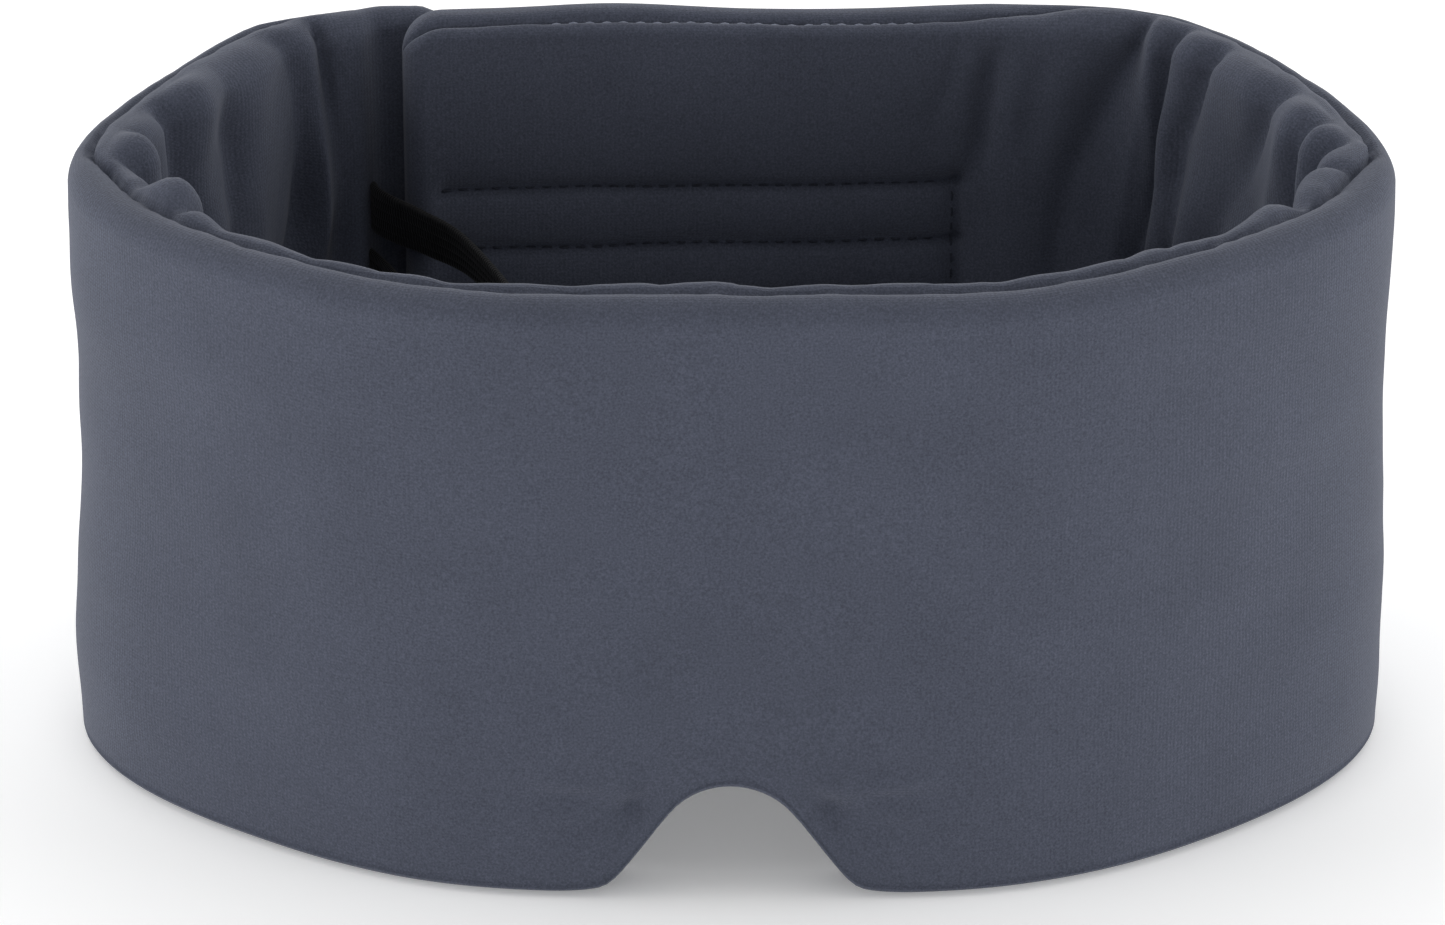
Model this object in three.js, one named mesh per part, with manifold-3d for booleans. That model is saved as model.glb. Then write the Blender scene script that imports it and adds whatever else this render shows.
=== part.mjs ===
import * as THREE from 'three';
import { mergeVertices } from 'three/addons/utils/BufferGeometryUtils.js';
import Module from 'manifold-3d';

// Padded wrap-around sleep mask, standing on its lower rim. Millimetres, +Z up, +X to the
// wearer's left when worn facing -Y. Every wall is a sandwich: outer fabric, padding, lining.

const wasm = await Module();
wasm.setup();

const height = 102;            // height of the band, rim to rim
const wall = 12;               // thickness of the padded band
const cloth = 1.2;             // thickness of the fabric
const gap = 0.3;               // air kept between neighbouring pieces
const panelWall = 10;          // thickness of the back panel
const endWall = 7;             // thickness of the flat closing end
const patch = 1.8;             // thickness of the hook patch and of the loop patch
const patchWidth = 22;         // height of both patches
const hookLength = 90;
const loopLength = 42;
const overlap = 54;            // how far the closing end reaches over the back panel
const panelInset = 11;         // how far the free end of the back panel sits inside the outline
const panelTipX = -57;
const panelCorner = 7;         // corner radius of the back panel
const endTaper = 16;           // how much the closing end narrows at the top and at the bottom
const taperStart = 5;          // length of the closing end that keeps its full height
const endCorner = 14;          // corner radius of the closing end
const notchHeight = 19;        // height of the nose notch
const notchRadius = 12.5;      // radius of the top of the notch
const notchFlare = 35 * Math.PI / 180;
const notchFoot = 4;           // size of the curve between the notch and the rim
const strapWidth = 9;
const strapCloth = 1.5;
const strapSpread = 12;        // how far the upper end of the strap sits above its lower end
const closureHeight = 63;      // height of the middle of the patches above the lower rim
const strapHeight = 64;        // height of the middle of the slit that the strap comes out of

// Half of the outline of the outer face, as control points of a closed cubic B-spline.
const halfOutline = [[19, -68.5], [58, -68.5], [124, -10], [91, 51], [79, 74], [27, 74]];
const mirrored = halfOutline.map(([x, y]) => [-x, y]).reverse();
const outlineControls = [...halfOutline, ...mirrored];

// Stations along the outline: 0 is the middle of the front, 6 the middle of the back.
const temple = 2.5;
const corner = 4.5;
const leftEndStation = -4.8;
const straightStation = 5.15;
const cut = 0.004;             // half of the gap between two segments, as a station
const stationStep = 0.125;

// A plan point together with the level direction in which depths are measured from it.
function planPoint(x, y, inwards) {
  return { at: new THREE.Vector2(x, y), inwards };
}

function outlineAt(station) {
  const count = outlineControls.length;
  const u = station + count - 0.5;
  const start = Math.floor(u);
  const f = u - start;
  const share = [(1 - f) ** 3, 3 * f ** 3 - 6 * f ** 2 + 4, -3 * f ** 3 + 3 * f ** 2 + 3 * f + 1, f ** 3];
  const slope = [-3 * (1 - f) ** 2, 9 * f ** 2 - 12 * f, -9 * f ** 2 + 6 * f + 3, 3 * f ** 2];
  const point = new THREE.Vector2();
  const along = new THREE.Vector2();
  for (let i = 0; i < 4; i += 1) {
    const control = new THREE.Vector2(...outlineControls[(start - 1 + i) % count]);
    point.addScaledVector(control, share[i] / 6);
    along.addScaledVector(control, slope[i] / 6);
  }
  return planPoint(point.x, point.y, new THREE.Vector2(-along.y, along.x).normalize());
}

// Plan points of the outer face between two stations, front to back on either side.
function stretch(from, to) {
  const steps = Math.ceil(Math.abs(to - from) / stationStep);
  return Array.from({ length: steps + 1 }, (_, i) => outlineAt(from + (to - from) * i / steps));
}

function atDepth(line, depth) {
  return line.map(({ at, inwards }) => at.clone().addScaledVector(inwards, depth));
}

function toSolid(geometry) {
  geometry.deleteAttribute('normal');
  geometry.deleteAttribute('uv');
  const welded = mergeVertices(geometry, 1e-5);
  return new wasm.Manifold(new wasm.Mesh({
    numProp: 3,
    vertProperties: Float32Array.from(welded.attributes.position.array),
    triVerts: Uint32Array.from(welded.index.array),
  }));
}

function toGeometry(solid) {
  const mesh = solid.getMesh();
  const indexed = new THREE.BufferGeometry();
  indexed.setAttribute('position', new THREE.BufferAttribute(Float32Array.from(mesh.vertProperties), 3));
  indexed.setIndex(new THREE.BufferAttribute(Uint32Array.from(mesh.triVerts), 1));
  const flat = indexed.toNonIndexed();
  flat.computeVertexNormals();
  return flat;
}

// A standing wall that follows a line, between two depths.
function standingWall(line, outerDepth, innerDepth, low, high) {
  const shape = new THREE.Shape([...atDepth(line, outerDepth), ...atDepth(line, innerDepth).reverse()]);
  const geometry = new THREE.ExtrudeGeometry(shape, { depth: high - low, bevelEnabled: false });
  geometry.translate(0, 0, low);
  return toSolid(geometry);
}

// The side view of a flat end: it starts far back along the band and closes with two rounded
// corners. A taper narrows it towards the tip, from a little past its root.
function endOutline(length, taper, radius, inset) {
  const tip = length - inset;
  const low = taper + inset;
  const high = height - taper - inset;
  const round = radius - inset;
  const shape = new THREE.Shape();
  shape.moveTo(-2 * height, inset);
  shape.lineTo(taperStart, inset);
  shape.lineTo(tip - round, low);
  shape.absarc(tip - round, low + round, round, -Math.PI / 2, 0, false);
  shape.absarc(tip - round, high - round, round, 0, Math.PI / 2, false);
  shape.lineTo(taperStart, height - inset);
  shape.lineTo(-2 * height, height - inset);
  return shape;
}

// A prism of a side view, standing on the line from one plan point towards another.
function sideView(shape, start, towards) {
  const geometry = new THREE.ExtrudeGeometry(shape, {
    depth: 2 * height, bevelEnabled: false, curveSegments: 5,
  });
  geometry.translate(0, 0, -height);
  geometry.rotateX(Math.PI / 2);
  geometry.rotateZ(Math.atan2(towards.y - start.y, towards.x - start.x));
  geometry.translate(start.x, start.y, 0);
  return toSolid(geometry);
}

function noseNotch(grown) {
  const radius = notchRadius + grown;
  const centre = notchHeight - notchRadius;
  const sideX = radius * Math.cos(notchFlare);
  const sideZ = centre + radius * Math.sin(notchFlare);
  const slope = Math.tan(notchFlare);
  const footX = sideX + (sideZ - notchFoot) * slope;
  const flankEndX = sideX + sideZ * slope;
  const rimX = flankEndX + notchFoot;
  const below = -10;
  const shape = new THREE.Shape();
  shape.moveTo(-rimX, below);
  shape.lineTo(rimX, below);
  shape.lineTo(rimX, 0);
  shape.quadraticCurveTo(flankEndX, 0, footX, notchFoot);
  shape.absarc(0, centre, radius, notchFlare, Math.PI - notchFlare, false);
  shape.lineTo(-footX, notchFoot);
  shape.quadraticCurveTo(-flankEndX, 0, -rimX, 0);
  const geometry = new THREE.ExtrudeGeometry(shape, {
    depth: 2 * wall, bevelEnabled: false, curveSegments: 10,
  });
  geometry.rotateX(Math.PI / 2);
  geometry.translate(0, outlineAt(0).at.y + 1.5 * wall, 0);
  return toSolid(geometry);
}

// The three layers of one segment of the band. The trim function shapes a layer further; it is
// given how far that layer keeps inside the finished surface.
function layers(line, thickness, trim) {
  const inside = (inset) => [inset, height - inset];
  const block = trim(standingWall(line, 0, thickness, 0, height), 0);
  const hollow = trim(standingWall(line, cloth, thickness + 1, ...inside(cloth)), cloth);
  const inset = cloth + gap;
  const padding = standingWall(line, inset, thickness - inset, ...inside(inset));
  const lining = standingWall(line, thickness - cloth, thickness, ...inside(inset));
  return {
    outer_fabric: block.subtract(hollow),
    padding: trim(padding, inset),
    lining: trim(lining, inset),
  };
}

function untouched(solid) {
  return solid;
}

function frontLayers() {
  const trim = (solid, inset) => solid.subtract(noseNotch(inset));
  return layers(stretch(-temple + cut, temple - cut), wall, trim);
}

function rightWingLayers() {
  return layers(stretch(temple + cut, corner - cut), wall, untouched);
}

function leftWingLayers() {
  const built = layers(stretch(-temple - cut, leftEndStation), wall, untouched);
  const slit = new THREE.BoxGeometry(5, 2 * wall, strapSpread + strapWidth + 3);
  slit.translate(strapRoot.x - strapCloth, strapRoot.y, strapHeight);
  built.lining = built.lining.subtract(toSolid(slit));
  return built;
}

const panelStart = outlineAt(straightStation).at;
const panelTip = new THREE.Vector2(panelTipX, panelStart.y - panelInset);
const panelDirection = panelTip.clone().sub(panelStart).normalize();
const panelInwards = new THREE.Vector2(-panelDirection.y, panelDirection.x);

function backPanelLayers() {
  const tip = planPoint(panelTip.x, panelTip.y, panelInwards);
  const line = [...stretch(corner + cut, straightStation), tip];
  const length = panelStart.distanceTo(panelTip);
  const trim = (solid, inset) => {
    return solid.intersect(sideView(endOutline(length, 0, panelCorner, inset), panelStart, panelTip));
  };
  return layers(line, panelWall, trim);
}

// The closing end lies flat along the back panel, with the two patches between them.
const patchStack = 2 * patch + 3 * gap;
const closingRootX = outlineAt(leftEndStation).at.x + 2 * gap;
const abovePanelTip = panelTip.clone().addScaledVector(panelInwards, -patchStack - endWall);
const closingRoot = abovePanelTip.clone()
  .addScaledVector(panelDirection, (closingRootX - abovePanelTip.x) / panelDirection.x);
const closingTip = closingRoot.clone().addScaledVector(panelDirection, -overlap);

function closingEndLayers() {
  const profile = (inset) => endOutline(overlap, endTaper, endCorner, inset);
  const trim = (solid, inset) => solid.intersect(sideView(profile(inset), closingRoot, closingTip));
  const line = [closingRoot, closingTip].map(({ x, y }) => planPoint(x, y, panelInwards));
  return layers(line, endWall, trim);
}

// A patch lies against the panel: distance is from its free end, height above its outer face.
function flatPatch(length, distance, lift) {
  const geometry = new THREE.BoxGeometry(length, patch, patchWidth);
  const centre = panelTip.clone()
    .addScaledVector(panelDirection, -distance - length / 2)
    .addScaledVector(panelInwards, -lift - patch / 2);
  geometry.rotateZ(Math.atan2(panelDirection.y, panelDirection.x));
  geometry.translate(centre.x, centre.y, closureHeight);
  return geometry;
}

// The elastic strap is a flat band sewn into the wing as a loop. Its upper end leaves the slit of
// the lining, sinks as it reaches forward, and comes back to the slit below. The path gives x and y
// from the slit, and the height as a share of half the spread.
const strapRoot = new THREE.Vector3(-62, 61, strapHeight);
const strapPath = [
  [0, 0, 1], [0.4, -3, 1], [3, -7.5, 1], [7.5, -12, 0.9], [15, -20, 0.7], [24, -38, 0.2], [31, -58, -0.2],
  [28, -67, -0.5], [20, -60, -0.8], [12, -44, -1], [7, -26, -1], [2.5, -11, -1], [-1.4, 0, -1],
];

function elasticStrap() {
  const stops = strapPath.map(([x, y, rise]) => {
    return strapRoot.clone().add(new THREE.Vector3(x, y, rise * strapSpread / 2));
  });
  const curve = new THREE.CatmullRomCurve3(stops);
  const geometry = new THREE.BoxGeometry(1, strapCloth, strapWidth, 48, 1, 1);
  const corners = geometry.attributes.position;
  for (let i = 0; i < corners.count; i += 1) {
    const share = corners.getX(i) + 0.5;
    const along = curve.getTangent(share);
    const sideways = new THREE.Vector3(-along.y, along.x, 0).normalize();
    const place = curve.getPoint(share).addScaledVector(sideways, corners.getY(i));
    corners.setXYZ(i, place.x, place.y, place.z + corners.getZ(i));
  }
  return toGeometry(toSolid(geometry));
}

const shades = {
  outer_fabric: { color: 0x50586a, roughness: 0.95, metalness: 0 },
  padding: { color: 0xe8e6e0, roughness: 1, metalness: 0 },
  lining: { color: 0x4a5264, roughness: 0.95, metalness: 0 },
  elastic: { color: 0x15161a, roughness: 0.8, metalness: 0 },
  hook: { color: 0x3d4454, roughness: 0.7, metalness: 0 },
  loop: { color: 0x454d5e, roughness: 1, metalness: 0 },
};

const mask = new THREE.Group();
mask.name = 'sleep_mask';

function addPart(name, geometry, shade) {
  const mesh = new THREE.Mesh(geometry, new THREE.MeshStandardMaterial(shades[shade]));
  mesh.name = name;
  mask.add(mesh);
}

const segments = {
  front: frontLayers(),
  left_wing: leftWingLayers(),
  closing_end: closingEndLayers(),
  right_wing: rightWingLayers(),
  back_panel: backPanelLayers(),
};
for (const [segment, built] of Object.entries(segments)) {
  for (const [layer, solid] of Object.entries(built)) {
    addPart(`${segment}_${layer}`, toGeometry(solid), layer);
  }
}
addPart('hook_patch', flatPatch(hookLength, 6, gap), 'hook');
addPart('loop_patch', flatPatch(loopLength, 4, patch + 2 * gap), 'loop');
addPart('elastic_strap', elasticStrap(), 'elastic');

// The origin is the centre of the bounding box, on the plane of the lower rim.
const centre = new THREE.Box3().setFromObject(mask).getCenter(new THREE.Vector3());
mask.position.set(-centre.x, -centre.y, 0);

export default mask;
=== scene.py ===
import math

import bmesh
import bpy
import numpy as np
from bpy.props import FloatProperty, FloatVectorProperty, PointerProperty
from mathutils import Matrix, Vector, noise


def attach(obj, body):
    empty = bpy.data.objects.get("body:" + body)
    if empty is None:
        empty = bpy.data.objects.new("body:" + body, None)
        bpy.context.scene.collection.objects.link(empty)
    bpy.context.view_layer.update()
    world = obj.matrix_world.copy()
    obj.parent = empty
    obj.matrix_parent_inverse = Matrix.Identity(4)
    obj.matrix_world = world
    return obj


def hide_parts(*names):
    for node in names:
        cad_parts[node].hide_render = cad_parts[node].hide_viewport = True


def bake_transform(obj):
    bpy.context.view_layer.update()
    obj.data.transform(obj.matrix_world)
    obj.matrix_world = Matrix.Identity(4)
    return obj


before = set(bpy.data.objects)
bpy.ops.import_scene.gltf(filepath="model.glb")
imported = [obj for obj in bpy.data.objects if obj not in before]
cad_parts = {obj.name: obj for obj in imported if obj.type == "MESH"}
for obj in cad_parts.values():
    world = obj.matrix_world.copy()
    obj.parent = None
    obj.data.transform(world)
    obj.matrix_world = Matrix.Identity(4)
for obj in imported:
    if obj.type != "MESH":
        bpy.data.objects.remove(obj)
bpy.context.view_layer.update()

bl_info = {
    "name": "Padded Sleep Mask",
    "version": (1, 0, 0),
    "blender": (4, 5, 0),
    "location": "View3D > Sidebar > Sleep Mask",
    "description": "Builds a padded wrap-around sleep mask with a lapped closure and an elastic strap",
    "category": "Add Mesh",
}

MM = 0.001

# ------------------------------------------------------------ plan of the band, in millimetres

# Half of the outline of the outer face, as control points of a closed cubic B-spline.
HALF_OUTLINE = [(19, -68.5), (58, -68.5), (124, -10), (91, 51), (79, 74), (27, 74)]
OUTLINE = np.array(HALF_OUTLINE + [(-x, y) for x, y in reversed(HALF_OUTLINE)], float)
CENTRE_Y = 5.662
HEIGHT = 102.0
WALL = 12.0
PANEL_WALL = 10.0
END_WALL = 7.0
TEMPLE = 2.5
CORNER = 4.5
LEFT_END = -4.8
PANEL_STRAIGHT = 5.15
PANEL_TIP_X = -57.0
PANEL_INSET = 11.0
PANEL_CORNER = 7.0
OVERLAP = 54.0
END_TAPER = 16.0
END_CORNER = 14.0
PATCH = 1.8
GAP = 0.3
CLOSURE_HEIGHT = 63.0
NOTCH_HEIGHT = 19.0
NOTCH_RADIUS = 12.5
NOTCH_FLARE = math.radians(35)
COLUMN_STEP = 1.25
FACE_ROWS = 74
SEAM_AT = 0.62
PANEL_SEAM_AT = 0.78
BOX_LINES = (74.0, 63.5, 53.0)
BOX_ENDS = (-50.0, 38.5)
RIM_STITCHES = (-31.0, 34.0)
GATHER_SPACING = 16.0

# ------------------------------------------------------------ light and camera

# Strength of the sky near the horizon and overhead, in front of the mask and behind it.
FRONT_LOW = 1.9
FRONT_HIGH = 0.42
BEHIND = 1.55
OVERHEAD = 0.85
# Painted light: the glow of the floor, and the distances in front of the origin where it starts and where
# it is full; the oval reaches further to either side. Within it the floor gets no glow, a painted shadow
# under and inside the mask.
PAINTED_FLOOR_GLOW = 0.30
GLOW_STARTS = 0.058
GLOW_FULL = 0.082
CAMERA_TILT = math.radians(22.8)
CAMERA_DISTANCE = 1.188
CAMERA_AIM = 0.0473
CAMERA_LENS = 177.4
CAMERA_SHIFT = -0.0062


def outline_at(station):
    """The plan point and the direction of travel at a station of the outline."""
    count = len(OUTLINE)
    u = station + count - 0.5
    start = math.floor(u)
    f = u - start
    controls = OUTLINE[[(start - 1 + i) % count for i in range(4)]]
    share = np.array([(1 - f) ** 3, 3 * f**3 - 6 * f**2 + 4, -3 * f**3 + 3 * f**2 + 3 * f + 1, f**3]) / 6
    slope = np.array([-3 * (1 - f) ** 2, 9 * f**2 - 12 * f, -9 * f**2 + 6 * f + 3, 3 * f**2]) / 6
    point = share @ controls
    along = slope @ controls
    return point - (0, CENTRE_Y), along / np.linalg.norm(along)


def stretch(start, end):
    """Plan points and inward directions of the outer face between two stations."""
    points = []
    inwards = []
    for station in np.linspace(start, end, 241):
        point, along = outline_at(station)
        points.append(point)
        inwards.append((-along[1], along[0]))
    return np.array(points), np.array(inwards)


def unit(vectors):
    return vectors / np.linalg.norm(vectors, axis=-1, keepdims=True)


def lengths(points):
    """The length from the first point to each point of a line."""
    steps = np.linalg.norm(np.diff(points, axis=0), axis=1)
    return np.concatenate([[0.0], np.cumsum(steps)])


def resample(wanted, at, values):
    """The rows of values, known at the lengths at, read off at the wanted lengths."""
    return np.stack([np.interp(wanted, at, column) for column in values.T], axis=1)


def ease(x):
    x = np.clip(x, 0, 1)
    return x * x * (3 - 2 * x)


PANEL_START = outline_at(PANEL_STRAIGHT)[0]
PANEL_TIP = np.array([PANEL_TIP_X, PANEL_START[1] - PANEL_INSET])
PANEL_ALONG = unit(PANEL_TIP - PANEL_START)
PANEL_INWARDS = np.array([-PANEL_ALONG[1], PANEL_ALONG[0]])


def panel_line():
    """From the right rear corner to the free end of the back panel."""
    points, inwards = stretch(CORNER, PANEL_STRAIGHT)
    share = np.linspace(0.01, 1, 120)[:, None]
    points = np.vstack([points, PANEL_START + share * (PANEL_TIP - PANEL_START)])
    turn = ease(share * 8)
    inwards = np.vstack([inwards, unit(inwards[-1] * (1 - turn) + PANEL_INWARDS * turn)])
    return points, inwards


def closing_line():
    """From the end of the left wing out over the back panel."""
    end, along = outline_at(LEFT_END)
    lifted = PANEL_TIP - PANEL_INWARDS * (2 * PATCH + 3 * GAP + END_WALL)
    start = lifted + PANEL_ALONG * ((end[0] - lifted[0]) / PANEL_ALONG[0])
    reach = np.linspace(0, 1, 120)[:, None] * OVERLAP
    turn = ease(reach / 16)
    points = start - PANEL_ALONG * reach + (end - start) * (1 - turn)
    inwards = unit(np.array([along[1], -along[0]]) * -1 * (1 - turn) + PANEL_INWARDS * turn)
    return points, inwards


# ------------------------------------------------------------ section of the band


def ring_marks():
    """Where each point of a closed section lies: its corner of the section, its direction and its row."""
    marks = []
    rows = np.linspace(0, 1, FACE_ROWS + 1)
    across = np.linspace(0, 1, 7)
    arc = np.radians(np.linspace(0, 90, 12))
    marks += [("outer", t, -1.0, 0.0) for t in rows[:-1]]
    marks += [("top_outer", 0, -math.cos(a), math.sin(a)) for a in arc]
    marks += [("top", t, 0.0, 1.0) for t in across[1:-1]]
    marks += [("top_inner", 0, math.sin(a), math.cos(a)) for a in arc]
    marks += [("inner", 1 - t, 1.0, 0.0) for t in rows[1:-1]]
    marks += [("low_inner", 0, math.cos(a), -math.sin(a)) for a in arc]
    marks += [("low", 1 - t, 0.0, -1.0) for t in across[1:-1]]
    marks += [("low_outer", 0, -math.sin(a), -math.cos(a)) for a in arc]
    return marks


RING = ring_marks()
RING_NORMAL = np.array([(mark[2], mark[3]) for mark in RING])
IS_INNER = np.clip(RING_NORMAL[:, 0], 0, 1)
IS_OUTER = np.clip(-RING_NORMAL[:, 0], 0, 1)
IS_TOP = np.clip(RING_NORMAL[:, 1], 0, 1)
IS_LOW = np.clip(-RING_NORMAL[:, 1], 0, 1)


def section(thickness, low, high):
    """Depths and heights of the ring for one column of the band."""
    outer = thickness * 0.42
    inner = thickness * 0.42
    rise = thickness * 0.36
    sole = thickness * 0.15
    bases = {
        "top_outer": (outer, high - rise, outer, rise),
        "top_inner": (thickness - inner, high - rise, inner, rise),
        "low_inner": (thickness - inner, low + sole, inner, sole),
        "low_outer": (outer, low + sole, outer, sole),
    }
    out = np.empty((len(RING), 2))
    for i, (place, t, nd, nz) in enumerate(RING):
        if place in bases:
            depth, height, rd, rz = bases[place]
            out[i] = (depth + nd * rd, height + nz * rz)
        elif place == "outer":
            out[i] = (0, low + sole + t * (high - rise - low - sole))
        elif place == "inner":
            out[i] = (thickness, low + sole + t * (high - rise - low - sole))
        else:
            depth = outer + t * (thickness - inner - outer)
            out[i] = (depth, high if place == "top" else low)
    return out


def notch_edge(x):
    """Height of the lower rim at a distance from the middle of the front."""
    centre = NOTCH_HEIGHT - NOTCH_RADIUS
    side_x = NOTCH_RADIUS * math.cos(NOTCH_FLARE)
    side_z = centre + NOTCH_RADIUS * math.sin(NOTCH_FLARE)
    if abs(x) < side_x:
        return centre + math.sqrt(NOTCH_RADIUS**2 - x * x)
    flank = side_z - (abs(x) - side_x) / math.tan(NOTCH_FLARE)
    return 0.5 * (flank + math.sqrt(flank * flank + 9.0)) * ease((30 - abs(x)) / 8)


# ------------------------------------------------------------ puffs, folds and dents


def cloud(u, v, w, seed):
    """Smooth noise between about -1 and 1 over arrays of places."""
    flat = zip(np.ravel(u), np.ravel(v), np.ravel(np.broadcast_to(w, np.shape(u))))
    values = [noise.noise((a + seed * 17.3, b - seed * 9.1, c + seed * 5.7)) for a, b, c in flat]
    return np.reshape(values, np.shape(u))


def folds(u, z, spacing, seed):
    """Gathers of a lining, in millimetres: soft puffs between slanting creases that come and go."""
    lean = np.where(u > 0, 0.34, -0.10) * (z - 60)
    warp = 0.75 * cloud(u / 40, z / 44, 0, seed) + 0.30 * cloud(u / 15, z / 20, 0, seed + 1)
    phase = (u + lean) / spacing + warp
    number = np.floor(phase)
    inside = phase - number
    crest = np.sin(math.pi * inside) ** 1.15
    size = 0.62 + 1.0 * cloud(number * 3.71 + 0.5, z / 36, 0, seed + 2)
    near = np.minimum(inside, 1 - inside)
    present = ease(0.45 + 1.1 * cloud(np.round(phase) * 2.3, z / 24, 0, seed + 3))
    crease = np.exp(-((near / 0.15) ** 2)) * present
    crumple = 0.9 * cloud(u / 11, z / 19, 0, seed + 5)
    ridge = 1 - np.abs(cloud((u + 0.5 * z) / 26, z / 34, 0, seed + 6)) * 3
    return 3.2 * (crest * size - 0.3) - 1.2 * crease + crumple + 0.9 * np.clip(ridge, -0.3, 1)


def rim_rise(u):
    """The rim stands a little higher behind than in front and dips at the temples."""
    behind = 1.3 * ease((np.abs(u) - FRONT_HALF - 15) / 60)
    dip = -0.5 * np.exp(-(((np.abs(u) - FRONT_HALF + 8) / 22) ** 2))
    return behind + dip


def side_bulge(u, z):
    """The sides are slightly waisted above and swell near the floor, more so on the left."""
    beside = ease((np.abs(u) - 75) / 40) * ease((FRONT_HALF + 55 - np.abs(u)) / 40)
    waist = -0.8 * np.exp(-(((z - 60) / 20) ** 2))
    swell = np.where(u < 0, 1.3, 0.4) * np.exp(-(((z - 16) / 20) ** 2))
    return beside * (waist + swell)


def no_change(*places):
    return 0.0


class Band:
    """One segment of the padded band as a closed skin of columns and rings."""

    def __init__(self, name, line, from_length, sign):
        self.name = name
        points, inwards = line
        at = lengths(points)
        count = max(6, int(round(at[-1] / COLUMN_STEP)))
        even = np.linspace(0, at[-1], count + 1)
        self.at = even
        self.plan = resample(even, at, points)
        self.inwards = unit(resample(even, at, inwards))
        self.u = from_length + sign * even
        columns = count + 1
        self.thickness = np.full(columns, WALL)
        self.shift = np.zeros(columns)
        self.low = np.zeros(columns)
        self.high = HEIGHT + rim_rise(self.u)
        self.gather = no_change
        self.extra = no_change
        self.hold = lambda u: 1.0
        self.fullness = 0.0

    def rounded_end(self, radius, edge):
        """Closes the far end with rounded corners and a thin rounded edge."""
        length = self.at[-1]
        inside = np.clip((self.at - (length - radius)) / radius, 0, 1)
        drop = radius * (1 - np.sqrt(np.maximum(1 - inside**2, 0)))
        self.high -= drop
        self.low += drop
        near = np.clip((self.at - (length - edge)) / edge, 0, 0.995)
        thinner = self.thickness * np.sqrt(1 - near**2)
        self.shift += (self.thickness - thinner) / 2
        self.thickness = thinner

    def finer_end(self, reach):
        """Moves the last columns closer together, so that the rounded end is smooth."""
        length = self.at[-1]
        share = np.linspace(0, 1, len(self.at))
        tail = length - reach * (1 - share) ** 1.6
        mix = ease((share - 0.5) / 0.5)
        wanted = length * share * (1 - mix) + np.maximum(tail, length * share) * mix
        self.plan = resample(wanted, self.at, self.plan)
        self.inwards = unit(resample(wanted, self.at, self.inwards))
        self.u = np.interp(wanted, self.at, self.u)
        self.at = wanted

    def places(self, puff):
        """Millimetre places of every point of every ring."""
        rings = np.stack([section(t, a, b) for t, a, b in zip(self.thickness, self.low, self.high)])
        depth = rings[:, :, 0] + self.shift[:, None]
        height = rings[:, :, 1]
        u = np.repeat(self.u[:, None], len(RING), axis=1)
        push, lift = cloth_shape(self, u, depth, height, puff)
        depth = depth + push
        x = self.plan[:, None, 0] + self.inwards[:, None, 0] * depth
        y = self.plan[:, None, 1] + self.inwards[:, None, 1] * depth
        return np.stack([x, y, height + lift], axis=2)

    def build(self, places, beyond):
        """The closed skin as an object. Beyond holds the next segment's ring past either end, if any."""
        columns, rings = places.shape[:2]
        mesh = bmesh.new()
        verts = [mesh.verts.new(p) for p in places.reshape(-1, 3) * MM]
        layer = mesh.loops.layers.uv.new("cloth")
        around = lengths(places[0])
        around = np.append(around, around[-1] + np.linalg.norm(places[0, -1] - places[0, 0]))
        for c in range(columns - 1):
            for r in range(rings):
                n = (r + 1) % rings
                corners = [(c, r, r), (c, n, r + 1), (c + 1, n, r + 1), (c + 1, r, r)]
                face = mesh.faces.new([verts[i * rings + j] for i, j, _ in corners])
                face.smooth = True
                for loop, (i, _, k) in zip(face.loops, corners):
                    loop[layer].uv = (self.u[i], around[k])
        for column in (0, columns - 1):
            mesh.faces.new([verts[column * rings + r] for r in range(rings)])
        bmesh.ops.recalc_face_normals(mesh, faces=mesh.faces)
        piece = finished(mesh, self.name)
        join_shading(piece.data, places, beyond)
        return piece


def finished(mesh, name):
    """Turns a mesh under construction into an object of the scene."""
    data = bpy.data.meshes.new(name)
    mesh.to_mesh(data)
    mesh.free()
    piece = bpy.data.objects.new(name, data)
    bpy.context.collection.objects.link(piece)
    return piece


def join_shading(data, places, beyond):
    """Turns the normals of an end ring as the next segment's cloth turns them."""
    columns, rings = places.shape[:2]
    normals = np.array([corner.vector for corner in data.corner_normals])
    smooth = np.zeros(len(data.loops), bool)
    for polygon in data.polygons:
        smooth[list(polygon.loop_indices)] = polygon.use_smooth
    vertex = np.array([loop.vertex_index for loop in data.loops])
    for end, ring in beyond.items():
        here, near = (places[0], places[1]) if end == "first" else (places[-1], places[-2])
        facing = unit(np.cross(ring - near, np.roll(here, -1, axis=0) - np.roll(here, 1, axis=0)))
        base = 0 if end == "first" else (columns - 1) * rings
        for loop in np.nonzero(smooth & (vertex >= base) & (vertex < base + rings))[0]:
            wanted = facing[vertex[loop] - base]
            normals[loop] = math.copysign(1, wanted @ normals[loop]) * wanted
    data.normals_split_custom_set(normals)


FRONT_HALF = lengths(stretch(0, TEMPLE)[0])[-1]
RIGHT_WING = lengths(stretch(TEMPLE, CORNER)[0])[-1]
LEFT_WING = lengths(stretch(-TEMPLE, LEFT_END)[0])[-1]


def seam_place(u):
    """How far across the rim its seam runs: near the inside, but near the outside along the wings."""
    past_wing = u - FRONT_HALF - RIGHT_WING
    along_wing = ease((np.abs(u) - FRONT_HALF + 2) / 18) * (1 - ease((past_wing + 15) / 40))
    on_panel = ease((past_wing - 10) / 20)
    wander = 0.05 * (1 - on_panel) * cloud(u / 9, 0 * u, 0, 12)
    return SEAM_AT - 0.34 * along_wing + (PANEL_SEAM_AT - SEAM_AT) * on_panel + wander


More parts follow.
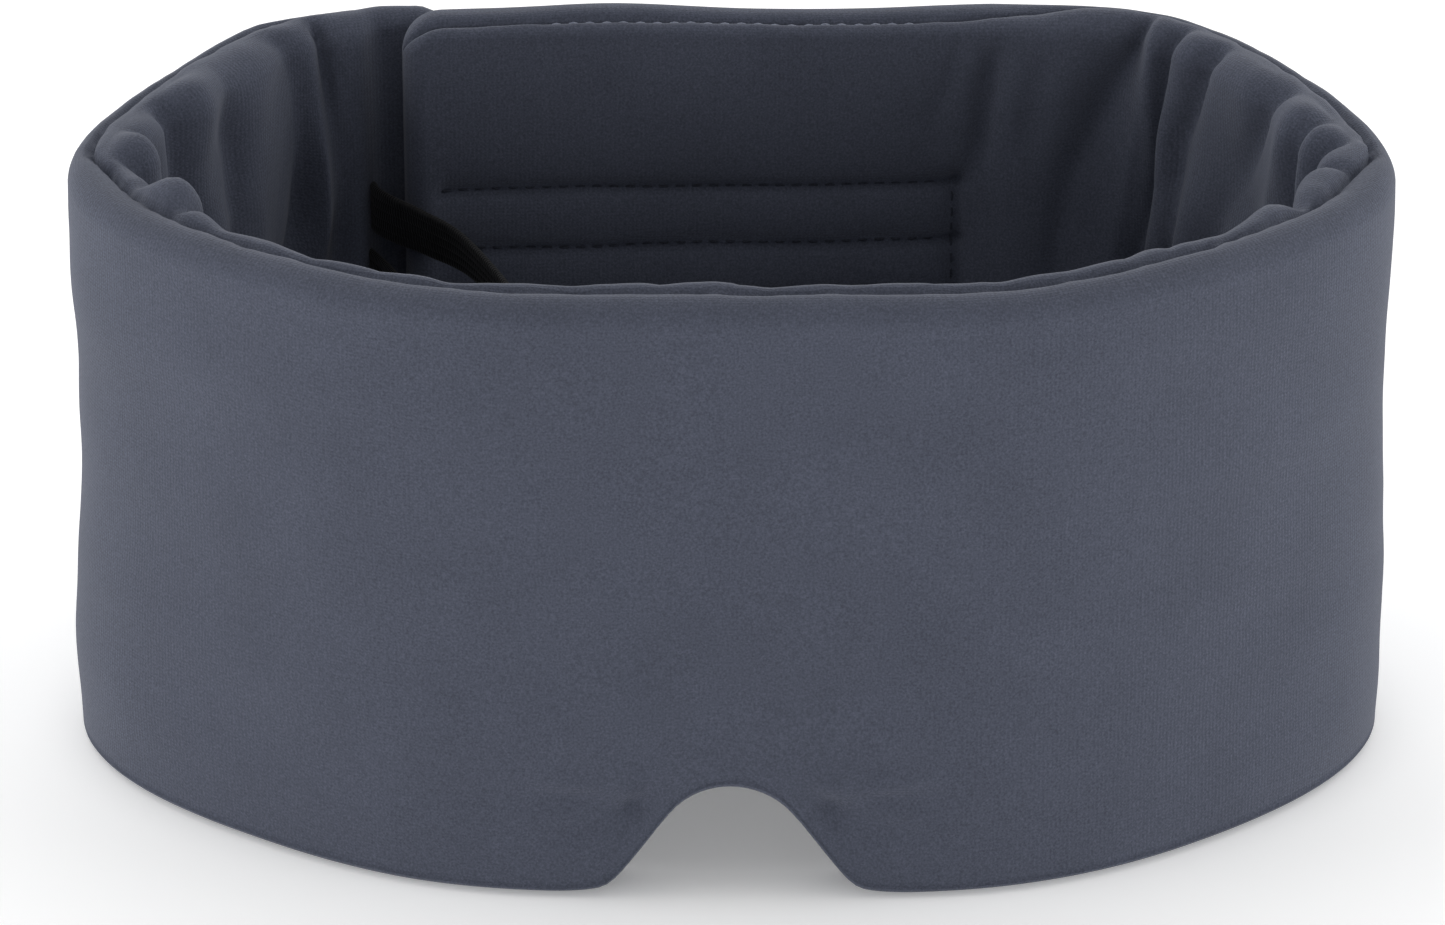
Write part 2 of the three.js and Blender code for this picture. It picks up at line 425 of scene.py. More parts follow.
def rim_surface(u, across):
    """Height of the cloth over the rim: two soft rolls with a puckered seam between them."""
    seam = seam_place(u)
    outer_roll = 0.45 * cloud(u / 24, 0 * u, 0, 6)
    inner_roll = 0.3 + 0.9 * cloud(u / 26, 0 * u, 3.1, 6) + 0.35 * cloud(u / 7, 0 * u, 0, 7)
    inner = ease((across - seam) / 0.12 + 0.5)
    roll = outer_roll * (1 - inner) + inner_roll * inner
    pucker = 1 + 0.4 * cloud(u / 3.2, 0 * u, 0, 8)
    tight = np.exp(-(((across - seam) / 0.05) ** 2))
    wide = np.exp(-(((across - seam) / 0.16) ** 2))
    return 0.5 + roll - (1.6 * tight + 1.1 * wide) * pucker


def cloth_shape(band, u, depth, height, puff):
    """How far the cloth stands away from the plain wall: outwards along the section, and up."""
    across = (depth - band.shift[:, None]) / band.thickness[:, None]
    side = 2.6 * np.clip(across, 0, 1.2)
    broad = cloud(u / 46, height / 40, side, 1)
    banded = cloud(u / 80, height / 11, side, 2)
    small = cloud(u / 14, height / 16, side, 3)
    outer = 0.55 * broad + 0.38 * banded + 0.08 * small + side_bulge(u, height)
    calm = 1 - 0.75 * ease((height - 74) / 18) * (1 - ease((np.abs(u) - 96) / 18))
    gathers = puff * calm * band.gather(u) * folds(u, height, GATHER_SPACING, 4)
    lining = np.clip(IS_INNER + IS_TOP * ease((across - 0.5) / 0.4) * 0.5, 0, 1)
    swell = np.sin(np.clip(height / HEIGHT, 0, 1) * math.pi) ** 0.5
    inner = 0.6 * broad + 0.3 * small + 1.0 * swell * band.fullness
    rims = IS_TOP * rim_surface(u, across) - IS_LOW * 0.8 * np.exp(-(((across - 0.5) / 0.06) ** 2))
    out = outer * IS_OUTER + inner * IS_INNER + gathers * lining + rims
    out = (out + band.extra(u, depth, height)) * band.hold(u)
    out = np.where(out > 0, out * ease(height / 2.5 + 0.4), out)
    lift = RING_NORMAL[None, :, 1] * out
    return RING_NORMAL[None, :, 0] * out, np.maximum(lift, -height)


def side_gather(u):
    """Strength of the lining's gathers: strong at the temples and along the sides, none on the panel."""
    to_panel = ease((u - FRONT_HALF - RIGHT_WING + 12) / 50)
    return (0.55 + 0.75 * ease((np.abs(u) - 45) / 50)) * (1 - to_panel)


# Angle, reach and depth of each wrinkle that runs out from a shoulder of the notch.
NOTCH_PULLS = ((4, 26, 1.5), (-17, 22, 1.3), (27, 18, 0.8), (-40, 15, 0.8))


def front_band():
    band = Band("front_pad", stretch(-TEMPLE, TEMPLE), -FRONT_HALF, 1)
    band.low = np.array([notch_edge(x) for x in band.plan[:, 0]])
    band.gather = side_gather
    band.fullness = (1.0 + 0.6 * ease((np.abs(band.u) - 60) / 60))[:, None]

    def pulls(u, depth, height):
        total = np.zeros_like(u)
        for side in (-1, 1):
            for angle, reach, strength in NOTCH_PULLS:
                a = math.radians(angle)
                start = (side * 12.5, 16.5)
                du = (u - start[0]) * side
                dz = height - start[1]
                along = du * math.cos(a) + dz * math.sin(a)
                away = -du * math.sin(a) + dz * math.cos(a)
                dip = np.exp(-((away / (1.5 + 0.05 * along)) ** 2))
                ridge = 0.6 * np.exp(-(((away - 3) / 1.8) ** 2))
                total -= strength * (dip - ridge) * ease(along / 4) * ease((reach - along) / (0.7 * reach))
        return total * IS_OUTER

    band.extra = pulls
    return band


def left_wing_band():
    band = Band("left_wing_pad", stretch(-TEMPLE, LEFT_END), -FRONT_HALF, -1)
    thin = ease((band.at - (LEFT_WING - 6)) / 6)
    band.thickness = WALL + (END_WALL + 1.0 - WALL) * thin
    band.gather = lambda u: side_gather(u) * (1 - 0.9 * ease((-u - FRONT_HALF - LEFT_WING + 20) / 18))
    band.fullness = 1.6 * (1 - thin)[:, None]
    return band


def closing_band():
    start = -FRONT_HALF - LEFT_WING
    band = Band("closing_end_pad", closing_line(), start, -1)
    band.finer_end(12)
    taper = END_TAPER * np.clip((band.at - 7) / (OVERLAP - END_CORNER - 7), 0, 1)
    band.low = taper.copy()
    band.high = band.high - taper
    band.thickness = END_WALL + 1.0 - ease(band.at / 10)
    band.rounded_end(END_CORNER, 3.0)
    band.gather = lambda u: 0.1 * side_gather(u)
    band.hold = lambda u: 1 - 0.65 * ease((start - u) / 12)
    return band


def right_wing_band():
    band = Band("right_wing_pad", stretch(TEMPLE, CORNER), FRONT_HALF, 1)
    band.gather = side_gather
    band.fullness = (1.6 - 1.1 * ease((band.at - RIGHT_WING + 20) / 20))[:, None]
    band.thickness = WALL + (PANEL_WALL - WALL) * ease((band.at - RIGHT_WING + 14) / 14)
    return band


# Start, foot height, slant, width and depth of each crease that hangs from the rim of the panel.
PANEL_CREASES = (
    (41.5, 70, 0.14, 2.0, 2.2),
    (32, 80, 0.34, 1.6, 0.9),
    (-27, 84, 0.3, 1.5, 0.7),
    (50, 74, 0.2, 3.5, 0.9),
)


def box_line(x, z):
    """Height of a quilting line, which wanders a little and sinks towards the corner."""
    return z - 0.022 * (x + 5) + 0.7 * cloud(x / 22, 0 * x, z, 9)


def panel_band():
    band = Band("back_panel_pad", panel_line(), FRONT_HALF + RIGHT_WING, 1)
    band.finer_end(14)
    band.thickness = np.full(len(band.at), PANEL_WALL)
    band.high += 2.4 * ease((30 - band.plan[:, 0]) / 60)
    band.rounded_end(PANEL_CORNER, 3.6)
    band.gather = side_gather
    band.fullness = 0.5

    def quilting(u, depth, height):
        x = np.repeat(band.plan[:, :1], len(RING), axis=1)
        inside = ease((x - BOX_ENDS[0] + 3) / 3) * ease((BOX_ENDS[1] + 3 - x) / 3)
        dent = np.zeros_like(u)
        for z in BOX_LINES:
            away = height - box_line(x, z)
            dent -= 1.4 * np.exp(-((away / 0.9) ** 2)) + 0.9 * np.exp(-((away / 3.6) ** 2))
        level = ease((height - BOX_LINES[2] + 3) / 3) * ease((BOX_LINES[0] + 3 - height) / 3)
        aside = x - BOX_ENDS[1]
        upright = -1.3 * np.exp(-((aside / 1.0) ** 2)) - 0.9 * np.exp(-((aside / 3.8) ** 2))
        beyond = 1.6 * ease((aside - 2) / 10) * ease((30 - aside) / 16)
        creases = 0.0
        for start, low, slant, width, strength in PANEL_CREASES:
            away = x - start - slant * (height - low)
            reach = ease((height - low) / 12) * ease((101 - height) / 8)
            creases = creases - strength * np.exp(-((away / width) ** 2)) * reach
        return (dent * inside + upright * level + beyond + creases) * IS_INNER

    band.extra = quilting
    return band


# ------------------------------------------------------------ materials


def linear(hex_colour):
    """An sRGB colour such as 50586a as linear red, green, blue and alpha."""
    channels = [int(hex_colour[i : i + 2], 16) / 255 for i in (0, 2, 4)]
    spread = [c / 12.92 if c <= 0.04045 else ((c + 0.055) / 1.055) ** 2.4 for c in channels]
    return (*spread, 1.0)


def add_node(material, kind, links=(), **settings):
    """Adds a node with its settings; links are (input of the node, output it takes)."""
    tree = material.node_tree
    node = tree.nodes.new(kind)
    for key, value in settings.items():
        if key.startswith("in_"):
            socket = key[3:]
            node.inputs[int(socket) if socket.isdigit() else socket].default_value = value
        else:
            setattr(node, key, value)
    for target, source in links:
        socket = node.inputs[target]
        if kind == "ShaderNodeMix":
            socket = [one for one in node.inputs if one.name == target and one.enabled][0]
        tree.links.new(source, socket)
    return node


def new_material(name, roughness):
    material = bpy.data.materials.new(name)
    material.use_nodes = True
    shader = material.node_tree.nodes["Principled BSDF"]
    shader.inputs["Roughness"].default_value = roughness
    return material, shader


def ramp(material, source, stops):
    node = add_node(material, "ShaderNodeValToRGB", [("Fac", source)])
    elements = node.color_ramp.elements
    while len(elements) < len(stops):
        elements.new(0.5)
    for element, (place, colour) in zip(elements, stops):
        element.position = place
        element.color = colour
    return node.outputs["Color"]


def jersey(name, base):
    """Fine cotton jersey: upright ribs of loops, melange yarn and a soft nap that lightens at a slant."""
    material, shader = new_material(name, 0.95)
    uv = add_node(material, "ShaderNodeUVMap", uv_map="cloth").outputs["UV"]
    place = add_node(material, "ShaderNodeTexCoord").outputs["Object"]
    melange = add_node(
        material, "ShaderNodeTexNoise", [("Vector", place)],
        in_Scale=2600.0, in_Detail=2.0, in_Roughness=0.7,
    ).outputs["Fac"]
    patches = add_node(
        material, "ShaderNodeTexNoise", [("Vector", place)], in_Scale=60.0, in_Detail=3.0, in_Roughness=0.5
    ).outputs["Fac"]
    shades = [(*(channel * share for channel in base), 1) for share in (0.76, 1.0, 1.30)]
    yarn = ramp(material, melange, [(0.32, shades[0]), (0.5, shades[1]), (0.70, shades[2])])
    faded = ramp(material, patches, [(0.3, (0.95, 0.95, 0.95, 1)), (0.7, (1.04, 1.04, 1.04, 1))])
    tint = add_node(
        material, "ShaderNodeMix", [("A", yarn), ("B", faded)],
        data_type="RGBA", blend_type="MULTIPLY", in_Factor=1.0,
    )
    tinted = [out for out in tint.outputs if out.enabled][0]
    material.node_tree.links.new(tinted, shader.inputs["Base Color"])
    wales = add_node(
        material, "ShaderNodeTexWave", [("Vector", uv)], wave_type="BANDS", bands_direction="X",
        in_Scale=0.42, in_Distortion=0.5, in_Detail=1.0,
    ).outputs["Fac"]
    courses = add_node(
        material, "ShaderNodeTexWave", [("Vector", uv)], wave_type="BANDS", bands_direction="Y",
        in_Scale=0.55, in_Distortion=0.7, in_Detail=1.0,
    ).outputs["Fac"]
    knit = add_node(material, "ShaderNodeMath", [(0, wales), (1, courses)], operation="MULTIPLY").outputs[0]
    nap = add_node(material, "ShaderNodeMath", [(0, knit), (1, melange)], operation="ADD").outputs[0]
    bump = add_node(material, "ShaderNodeBump", [("Height", nap)], in_Strength=0.30, in_Distance=0.00020)
    material.node_tree.links.new(bump.outputs["Normal"], shader.inputs["Normal"])
    shader.inputs["Sheen Weight"].default_value = 0.16
    shader.inputs["Sheen Roughness"].default_value = 0.5
    shader.inputs["Sheen Tint"].default_value = (0.86, 0.88, 0.95, 1)
    shader.inputs["Specular IOR Level"].default_value = 0.12
    return material


def elastic_web(name):
    """Black knitted elastic with a rubbery sparkle between its ribs."""
    material, shader = new_material(name, 0.62)
    uv = add_node(material, "ShaderNodeUVMap", uv_map="cloth").outputs["UV"]
    threads = add_node(
        material, "ShaderNodeTexWave", [("Vector", uv)], wave_type="BANDS", bands_direction="X",
        in_Scale=0.5, in_Distortion=0.4, in_Detail=1.0,
    ).outputs["Fac"]
    place = add_node(material, "ShaderNodeTexCoord").outputs["Object"]
    grain = add_node(
        material, "ShaderNodeTexNoise", [("Vector", place)], in_Scale=1500.0, in_Detail=2.0
    ).outputs["Fac"]
    colour = ramp(material, grain, [(0.35, linear("030304")), (0.65, linear("101013"))])
    material.node_tree.links.new(colour, shader.inputs["Base Color"])
    bump = add_node(material, "ShaderNodeBump", [("Height", threads)], in_Strength=0.5, in_Distance=0.0002)
    material.node_tree.links.new(bump.outputs["Normal"], shader.inputs["Normal"])
    shader.inputs["Sheen Weight"].default_value = 0.05
    shader.inputs["Specular IOR Level"].default_value = 0.3
    return material


def fastener_tape(name, colour, scale, depth):
    """Hook or loop tape: a dense pile of small points, with painted shade between them."""
    material, shader = new_material(name, 0.9)
    place = add_node(material, "ShaderNodeTexCoord").outputs["Object"]
    pile_and_painted_shade = add_node(
        material, "ShaderNodeTexVoronoi", [("Vector", place)], in_Scale=scale, in_Randomness=0.7
    ).outputs["Distance"]
    # Darker away from the pile's points, where the pile sinks between them: painted shade.
    shade = ramp(material, pile_and_painted_shade, [(0.0, linear(colour)), (0.75, linear("23262e"))])
    material.node_tree.links.new(shade, shader.inputs["Base Color"])
    bump = add_node(material, "ShaderNodeBump", [("Height", pile_and_painted_shade)], in_Strength=0.8, in_Distance=depth)
    bump.invert = True
    material.node_tree.links.new(bump.outputs["Normal"], shader.inputs["Normal"])
    shader.inputs["Sheen Weight"].default_value = 0.1
    shader.inputs["Specular IOR Level"].default_value = 0.2
    return material


def sewing_thread(name, colour, lighter):
    """Polyester thread: two plies that twist along each stitch."""
    material, shader = new_material(name, 0.6)
    place = add_node(material, "ShaderNodeTexCoord").outputs["Object"]
    ply = add_node(
        material, "ShaderNodeTexNoise", [("Vector", place)], in_Scale=3000.0, in_Detail=1.0
    ).outputs["Fac"]
    shade = ramp(material, ply, [(0.35, linear(colour)), (0.65, linear(lighter))])
    material.node_tree.links.new(shade, shader.inputs["Base Color"])
    bump = add_node(material, "ShaderNodeBump", [("Height", ply)], in_Strength=0.3, in_Distance=0.00008)
    material.node_tree.links.new(bump.outputs["Normal"], shader.inputs["Normal"])
    shader.inputs["Specular IOR Level"].default_value = 0.3
    return material


# ------------------------------------------------------------ pieces


class MaskSizes(bpy.types.PropertyGroup):
    """Sizes and colours of the mask that can be changed."""

    puff: FloatProperty(
        name="Puff", description="Depth of the lining's gathers as a share of the usual",
        default=1.0, min=0.0, max=1.5,
    )
    strap_width: FloatProperty(
        name="Strap Width", description="Width of the elastic strap",
        default=0.009, min=0.004, max=0.012, subtype="DISTANCE", unit="LENGTH",
    )
    cloth: FloatVectorProperty(
        name="Cloth", description="Colour of the jersey", subtype="COLOR", size=3, min=0.0, max=1.0,
        default=linear("4b4f5c")[:3],
    )


class MASK_OT_band(bpy.types.Operator):
    """Adds the padded band: front, wings, closing end and back panel"""

    bl_idname = "mask.band"
    bl_label = "Padded Band"

    def execute(self, context):
        sizes = context.scene.sleep_mask
        cloth = jersey("cotton_jersey", sizes.cloth)
        front, left, closing = front_band(), left_wing_band(), closing_band()
        right, panel = right_wing_band(), panel_band()
        places = {band.name: band.places(sizes.puff) for band in (front, left, closing, right, panel)}
        rings = {name: (place[1], place[-2]) for name, place in places.items()}
        beyond = {
            front.name: {"first": rings[left.name][0], "last": rings[right.name][0]},
            left.name: {"first": rings[front.name][0], "last": rings[closing.name][0]},
            closing.name: {"first": rings[left.name][1]},
            right.name: {"first": rings[front.name][1], "last": rings[panel.name][0]},
            panel.name: {"first": rings[right.name][1]},
        }
        for band in (front, left, closing, right, panel):
            piece = band.build(places[band.name], beyond[band.name])
            piece.data.materials.append(cloth)
            segment = band.name.removesuffix("_pad")
            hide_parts(*[f"{segment}_{layer}" for layer in ("outer_fabric", "padding", "lining")])
        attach(bpy.data.objects["front_pad"], "front")
        bend("left_wing_pad")
        bend("right_wing_pad")
        bend("closing_end_pad")
        bend("back_panel_pad")
        return {"FINISHED"}


def bend(name):
    """Bakes the piece's placement into its mesh."""
    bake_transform(bpy.data.objects[name])


STRAP_CLOTH = 1.4
STRAP_RIBS = 5
STRAP_ROOT = (-62.0, 61.0 - CENTRE_Y, 64.0)
# The loop from the slit and back to it, from the root: across, back to front, and up.
STRAP_PATH = [
    (0, 0, 6), (1.0, -3, 6), (4.2, -7.3, 6), (9.5, -12, 5.4), (17, -20, 4.2),
    (26, -38, 1.2), (31.5, -58, -1.2), (29, -67, -3), (22, -60, -4.8),
    (14.5, -44, -6), (9.5, -26, -6), (4.2, -11, -6), (-1.0, 0, -6),
]


def smooth_line(points, count):
    """A Catmull-Rom curve through the points, as evenly spaced places."""
    points = np.array(points, float)
    points = np.vstack([2 * points[0] - points[1], points, 2 * points[-1] - points[-2]])
    fine = []
    for i in range(1, len(points) - 2):
        a, b, c, d = points[i - 1 : i + 3]
        for t in np.linspace(0, 1, 24, endpoint=False):
            square = (2 * a - 5 * b + 4 * c - d) * t**2
            cube = (3 * b - a - 3 * c + d) * t**3
            fine.append(0.5 * (2 * b + (c - a) * t + square + cube))
    fine = np.array([*fine, points[-2]])
    at = lengths(fine)
    even = np.linspace(0, at[-1], count)
    return resample(even, at, fine), even


def strap_mesh(name, width):
    """A ribbed web that follows the loop and leans a little as it turns, as a closed skin."""
    line, even = smooth_line(STRAP_PATH, 190)
    line = line + STRAP_ROOT
    flat = line * (1, 1, 0)
    along = unit(np.gradient(flat, axis=0))
    side = np.stack([along[:, 1], -along[:, 0], np.zeros(len(line))], axis=1)
    across = np.linspace(-1, 1, 10 * STRAP_RIBS + 1)
    rib = 0.22 * np.abs(np.sin((across + 1) * math.pi * STRAP_RIBS / 2)) ** 0.7
    edge = np.sqrt(np.clip(1 - np.abs(across) ** 16, 0, 1))
    half = (STRAP_CLOTH / 2 - 0.22 + rib) * edge
    ring = list(zip(across, half)) + list(zip(across[-2:0:-1], -half[-2:0:-1]))
    share = even / even[-1]
    lean = 0.30 * np.sin(2 * math.pi * share)
    mesh = bmesh.new()
    layer = mesh.loops.layers.uv.new("cloth")
    columns = []
    for place, out, turn in zip(line, side, lean):
        up = np.array([0, 0, math.cos(turn)]) + out * math.sin(turn)
        through = out * math.cos(turn) - np.array([0, 0, math.sin(turn)])
        columns.append([mesh.verts.new((place + up * z * width / 2 + through * t) * MM) for z, t in ring])
    count = len(ring)
    for c in range(len(columns) - 1):
        for r in range(count):
            n = (r + 1) % count
            face = mesh.faces.new((columns[c][r], columns[c][n], columns[c + 1][n], columns[c + 1][r]))
            face.smooth = True
            for loop, (i, k) in zip(face.loops, ((c, r), (c, r + 1), (c + 1, r + 1), (c + 1, r))):
                loop[layer].uv = (even[i], k * 0.18)
    mesh.faces.new(columns[0])
    mesh.faces.new(columns[-1])
    bmesh.ops.recalc_face_normals(mesh, faces=mesh.faces)
    return finished(mesh, name)


class MASK_OT_strap(bpy.types.Operator):
    """Adds the black elastic strap loop"""

    bl_idname = "mask.strap"
    bl_label = "Elastic Strap"

    def execute(self, context):
        strap = strap_mesh("elastic_strap_web", context.scene.sleep_mask.strap_width / MM)
        strap.data.materials.append(elastic_web("black_elastic"))
        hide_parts("elastic_strap")
        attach(strap, "strap")
        return {"FINISHED"}


def tape_patch(name, length, thickness, distance, lift):
    """A thin tape with rounded corners and a bound edge, lying along the back panel."""
    bpy.ops.object.select_all(action="DESELECT")
    bpy.ops.mesh.primitive_cube_add(size=1, location=(0, 0, 0))
    piece = bpy.context.object
    piece.name = name
    bpy.ops.object.mode_set(mode="EDIT")
    bpy.ops.transform.resize(value=(length * MM, thickness * MM, 22 * MM))
    edges = bmesh.from_edit_mesh(piece.data)
    bpy.ops.mesh.select_all(action="DESELECT")
    bpy.context.tool_settings.mesh_select_mode = (False, True, False)
    for edge in edges.edges:
        edge.select = abs((edge.verts[0].co - edge.verts[1].co).y) > 0.5 * thickness * MM
    bmesh.update_edit_mesh(piece.data)
    bpy.ops.mesh.bevel(offset=2.0 * MM, segments=5)
    bpy.context.tool_settings.mesh_select_mode = (False, False, True)
    bpy.ops.mesh.select_all(action="DESELECT")
    faces = bmesh.from_edit_mesh(piece.data)
    for face in faces.faces:
        face.select = abs(face.normal.y) > 0.9
    bmesh.update_edit_mesh(piece.data)
    bpy.ops.mesh.inset(thickness=1.4 * MM, depth=0.0)
    bpy.ops.mesh.inset(thickness=0.5 * MM, depth=-0.25 * MM)
    bpy.ops.mesh.inset(thickness=0.5 * MM, depth=0.25 * MM)
    bpy.ops.object.mode_set(mode="OBJECT")
    bevel = piece.modifiers.new("soft_edges", "BEVEL")
    bevel.width = 0.25 * MM
    bevel.segments = 2
    bevel.limit_method = "ANGLE"
    bpy.ops.object.modifier_apply(modifier=bevel.name)
    centre = PANEL_TIP - PANEL_ALONG * (distance + length / 2) - PANEL_INWARDS * (lift + thickness / 2)
    piece.rotation_euler = (0, 0, math.atan2(PANEL_ALONG[1], PANEL_ALONG[0]))
    piece.location = (centre[0] * MM, centre[1] * MM, CLOSURE_HEIGHT * MM)
    bpy.ops.object.transform_apply(location=True, rotation=True, scale=True)
    return piece


class MASK_OT_closure(bpy.types.Operator):
    """Adds the hook patch on the back panel and the loop patch on the closing end"""

    bl_idname = "mask.closure"
    bl_label = "Hook and Loop Closure"

    def execute(self, context):
        hook = tape_patch("hook_tape", 90.0, PATCH, 6.0, GAP)
        hook.data.materials.append(fastener_tape("hook_pile", "3d4454", 900.0, 0.0006))
        loop = tape_patch("loop_tape", 42.0, PATCH, 4.0, PATCH + 2 * GAP)
        loop.data.materials.append(fastener_tape("loop_pile", "464e60", 1500.0, 0.0004))
        for piece, node, body, slot in (
            (hook, "hook_patch", "back_panel", "hook_tape"),
            (loop, "loop_patch", "closing_end", "loop_tape"),
        ):
            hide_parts(node)
            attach(piece, body)
        return {"FINISHED"}


STITCH = 2.0
STITCH_PITCH = 2.9
THREAD = 0.24
STITCH_ARCH = ((0.0, -0.25, 0.5), (0.15, 0.02, 0.9), (0.5, 0.16, 1.0), (0.85, 0.02, 0.9), (1.0, -0.25, 0.5))


def stitches(mesh, pad, row, facing):
    """Adds thread stitches along a row of points, each dropped onto the pad along facing."""
    at = lengths(np.array(row))
    for start in np.arange(0, at[-1] - STITCH, STITCH_PITCH):
        ends = []
        for reach in (start, start + STITCH):
            point = Vector([np.interp(reach, at, [place[i] for place in row]) for i in range(3)]) * MM
            hit, place, normal, _ = pad.ray_cast(point - facing * 0.03, facing)
            if hit:
                ends.append((place, normal))
        if len(ends) == 2 and (ends[0][0] - ends[1][0]).length < 2 * STITCH * MM:
            add_stitch(mesh, ends)


def add_stitch(mesh, ends):
    """One stitch: a six-sided thread that rises out of the cloth and dives back in."""
    (first, up), (last, _) = ends
    along = (last - first).normalized()
    side = along.cross(up).normalized()
    rings = []
    for share, height, size in STITCH_ARCH:
        middle = first.lerp(last, share) + up * height * MM
        ring = []
        for k in range(6):
            a = k * math.pi / 3
            out = side * math.cos(a) + up * math.sin(a)
            ring.append(mesh.verts.new(middle + out * size * THREAD * MM))
        rings.append(ring)
    for one, two in zip(rings, rings[1:]):
        for k in range(6):
            n = (k + 1) % 6
            mesh.faces.new((one[k], one[n], two[n], two[k])).smooth = True
    mesh.faces.new(rings[0][::-1])
    mesh.faces.new(rings[-1])


class MASK_OT_stitching(bpy.types.Operator):
    """Adds the thread of the quilted box and of the seam along the rim of the back panel"""

    bl_idname = "mask.stitching"
    bl_label = "Stitching"

    def execute(self, context):
        inwards = Vector((*PANEL_INWARDS, 0))
        rows = []
        along = np.arange(*BOX_ENDS, 1.0)
        for z in BOX_LINES:
            heights = box_line(along, z)
            rows.append([(x, panel_face(x, PANEL_WALL), height) for x, height in zip(along, heights)])
        last = BOX_ENDS[1]
        levels = (BOX_LINES[-1] - 1, BOX_LINES[0] - 1)
        rows.append([(last, panel_face(last, PANEL_WALL), z) for z in levels])
        # The box stitches use a darker copy of the rim's grey thread: painted shade, for stitches sunk in
        # the quilted dents.
        sew("box_stitches", rows, -inwards, sewing_thread("box_thread_painted_shade", "252832", "343845"))
        across = PANEL_SEAM_AT * PANEL_WALL
        row = [(x, panel_face(x, across), HEIGHT) for x in np.arange(*RIM_STITCHES, 1.0)]
        sew("rim_stitches", [row], Vector((0, 0, -1)), sewing_thread("grey_thread", "767c8e", "9096a6"))
        return {"FINISHED"}


def sew(name, rows, facing, thread):
    """Adds rows of stitches to the back panel as one piece of thread."""
    mesh = bmesh.new()
    for row in rows:
        stitches(mesh, bpy.data.objects["back_panel_pad"], row, facing)
    piece = finished(mesh, name)
    piece.data.materials.append(thread)
    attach(piece, "back_panel")


def panel_face(x, depth):
    """How far back the panel lies at x, measured at a depth from its outer face."""
    start = PANEL_START + PANEL_INWARDS * depth
    return start[1] + (x - start[0]) * PANEL_ALONG[1] / PANEL_ALONG[0]


def studio_world():
    """Soft light: bright near the horizon and behind the mask, dimmer high up."""
    world = bpy.data.worlds.new("studio")
    world.use_nodes = True
    background = world.node_tree.nodes["Background"]
    place = add_node(world, "ShaderNodeTexCoord").outputs["Generated"]
    split = add_node(world, "ShaderNodeSeparateXYZ", [("Vector", place)])
    low = add_node(
        world, "ShaderNodeMapRange", [("Value", split.outputs["Z"])], interpolation_type="SMOOTHSTEP",
        in_1=0.08, in_2=0.30, in_3=FRONT_LOW, in_4=FRONT_HIGH,
    ).outputs["Result"]
    high = add_node(
        world, "ShaderNodeMapRange", [("Value", split.outputs["Z"])], interpolation_type="SMOOTHSTEP",
        in_1=0.55, in_2=0.85, in_3=BEHIND, in_4=OVERHEAD,
    ).outputs["Result"]
    behind = add_node(
        world, "ShaderNodeMapRange", [("Value", split.outputs["Y"])], interpolation_type="SMOOTHSTEP",
        in_1=-0.12, in_2=0.25, in_3=0.0, in_4=1.0,
    ).outputs["Result"]
    level = add_node(world, "ShaderNodeMix", [("Factor", behind), ("A", low), ("B", high)])
    world.node_tree.links.new(level.outputs["Result"], background.inputs["Strength"])
    background.inputs["Color"].default_value = (1, 1, 1, 1)
    return world


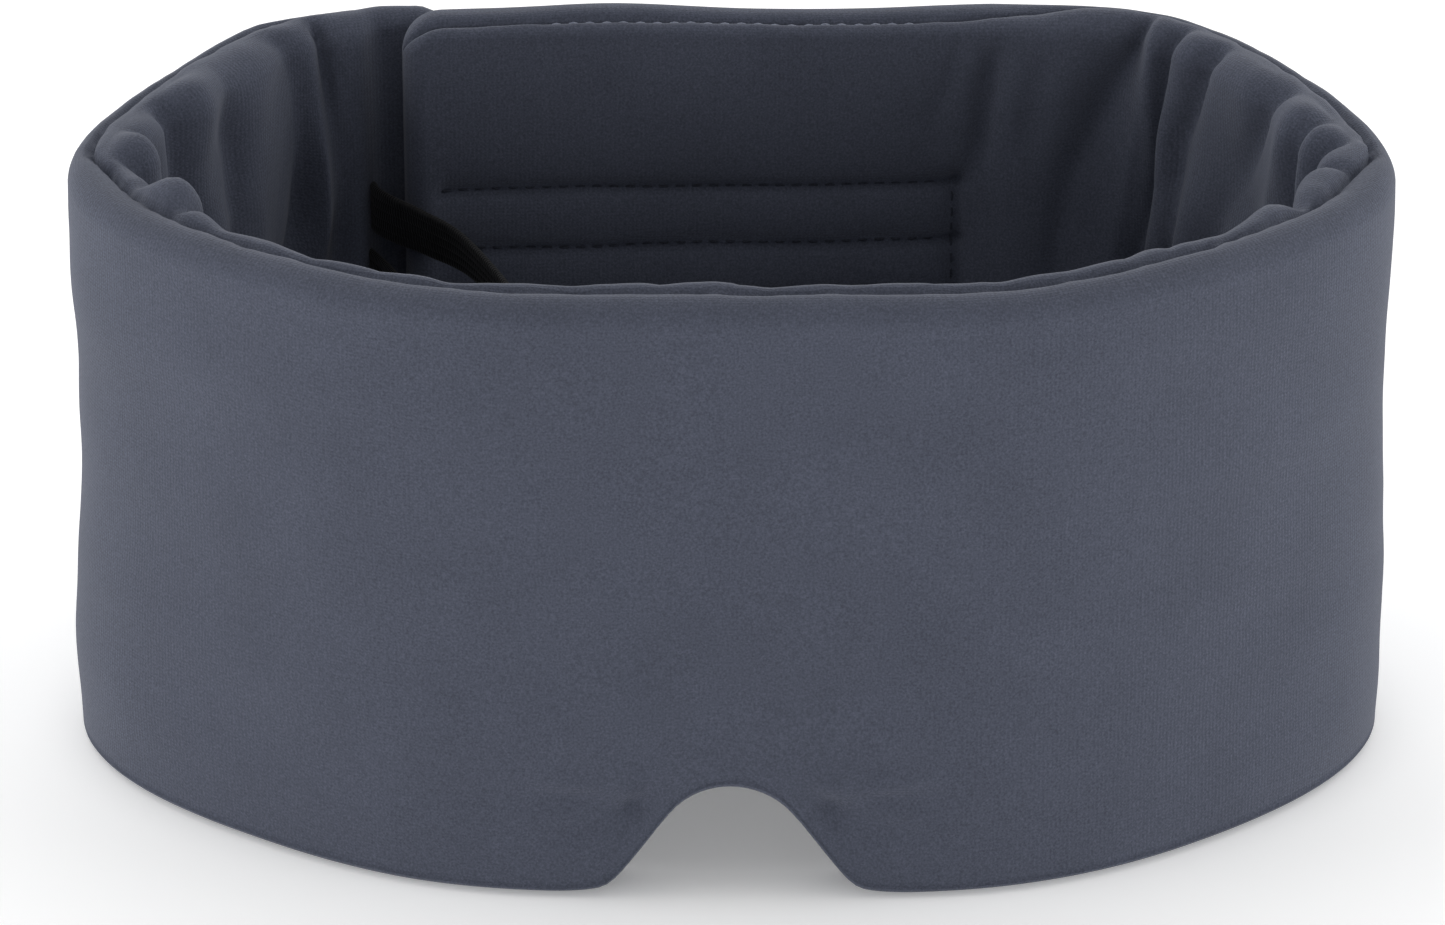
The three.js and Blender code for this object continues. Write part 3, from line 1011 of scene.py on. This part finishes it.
class MASK_OT_stage(bpy.types.Operator):
    """Adds the floor, the lights and the camera"""

    bl_idname = "mask.stage"
    bl_label = "Stage"

    def execute(self, context):
        bpy.ops.mesh.primitive_plane_add(size=6, location=(0, 0, 0))
        floor = context.object
        floor.name = "studio_floor"
        paper, shader = new_material("white_paper_painted_glow", 0.9)
        shader.inputs["Base Color"].default_value = (0.95, 0.95, 0.95, 1)
        shader.inputs["Emission Color"].default_value = (1, 1, 1, 1)
        # The floor's emission is painted light. It is left out within an oval around the mask, which paints
        # a shadow under and inside the mask.
        spot = add_node(paper, "ShaderNodeTexCoord").outputs["Object"]
        painted_shadow_oval = add_node(paper, "ShaderNodeVectorMath", [(0, spot)], operation="MULTIPLY", in_1=(0.68, 1, 1))
        away = add_node(
            paper, "ShaderNodeVectorMath", [(0, painted_shadow_oval.outputs[0])], operation="LENGTH"
        ).outputs["Value"]
        painted_glow = add_node(
            paper, "ShaderNodeMapRange", [("Value", away)], interpolation_type="SMOOTHSTEP",
            in_1=GLOW_STARTS, in_2=GLOW_FULL, in_3=0.0, in_4=PAINTED_FLOOR_GLOW,
        ).outputs["Result"]
        paper.node_tree.links.new(painted_glow, shader.inputs["Emission Strength"])
        floor.data.materials.append(paper)
        for name, place, size, power in (
            ("left_box", (-1.5, -0.15, 0.55), 0.9, 5.0),
            ("right_box", (1.5, -0.15, 0.55), 0.9, 4.0),
        ):
            light = bpy.data.lights.new(name, "AREA")
            light.energy = power
            light.size = size
            lamp = bpy.data.objects.new(name, light)
            lamp.location = place
            lamp.rotation_euler = (Vector((0, 0, 0.05)) - Vector(place)).to_track_quat("-Z", "Y").to_euler()
            context.collection.objects.link(lamp)
        context.scene.world = studio_world()
        camera = bpy.data.cameras.new("camera")
        camera.sensor_width = 36
        camera.lens = CAMERA_LENS
        camera.shift_x = CAMERA_SHIFT
        camera.clip_end = 20
        eye = bpy.data.objects.new("camera", camera)
        back = CAMERA_DISTANCE * math.cos(CAMERA_TILT)
        up = CAMERA_DISTANCE * math.sin(CAMERA_TILT)
        eye.location = (0, -CENTRE_Y * MM - back, CAMERA_AIM + up)
        eye.rotation_euler = (math.pi / 2 - CAMERA_TILT, 0, 0)
        context.collection.objects.link(eye)
        context.scene.camera = eye
        context.scene.view_settings.view_transform = "Standard"
        return {"FINISHED"}


class MASK_PT_panel(bpy.types.Panel):
    """Lists the operators of the mask"""

    bl_label = "Sleep Mask"
    bl_idname = "MASK_PT_panel"
    bl_space_type = "VIEW_3D"
    bl_region_type = "UI"
    bl_category = "Sleep Mask"

    def draw(self, context):
        for operator in OPERATORS:
            self.layout.operator(operator.bl_idname)


OPERATORS = (MASK_OT_band, MASK_OT_closure, MASK_OT_strap, MASK_OT_stitching, MASK_OT_stage)
CLASSES = (MaskSizes, *OPERATORS, MASK_PT_panel)


def register():
    for item in CLASSES:
        bpy.utils.register_class(item)
    bpy.types.Scene.sleep_mask = PointerProperty(type=MaskSizes)


def unregister():
    del bpy.types.Scene.sleep_mask
    for item in reversed(CLASSES):
        bpy.utils.unregister_class(item)


def main():
    register()
    bpy.ops.mask.band()
    bpy.ops.mask.closure()
    bpy.ops.mask.strap()
    bpy.ops.mask.stitching()
    bpy.ops.mask.stage()


if __name__ == "__main__":
    main()
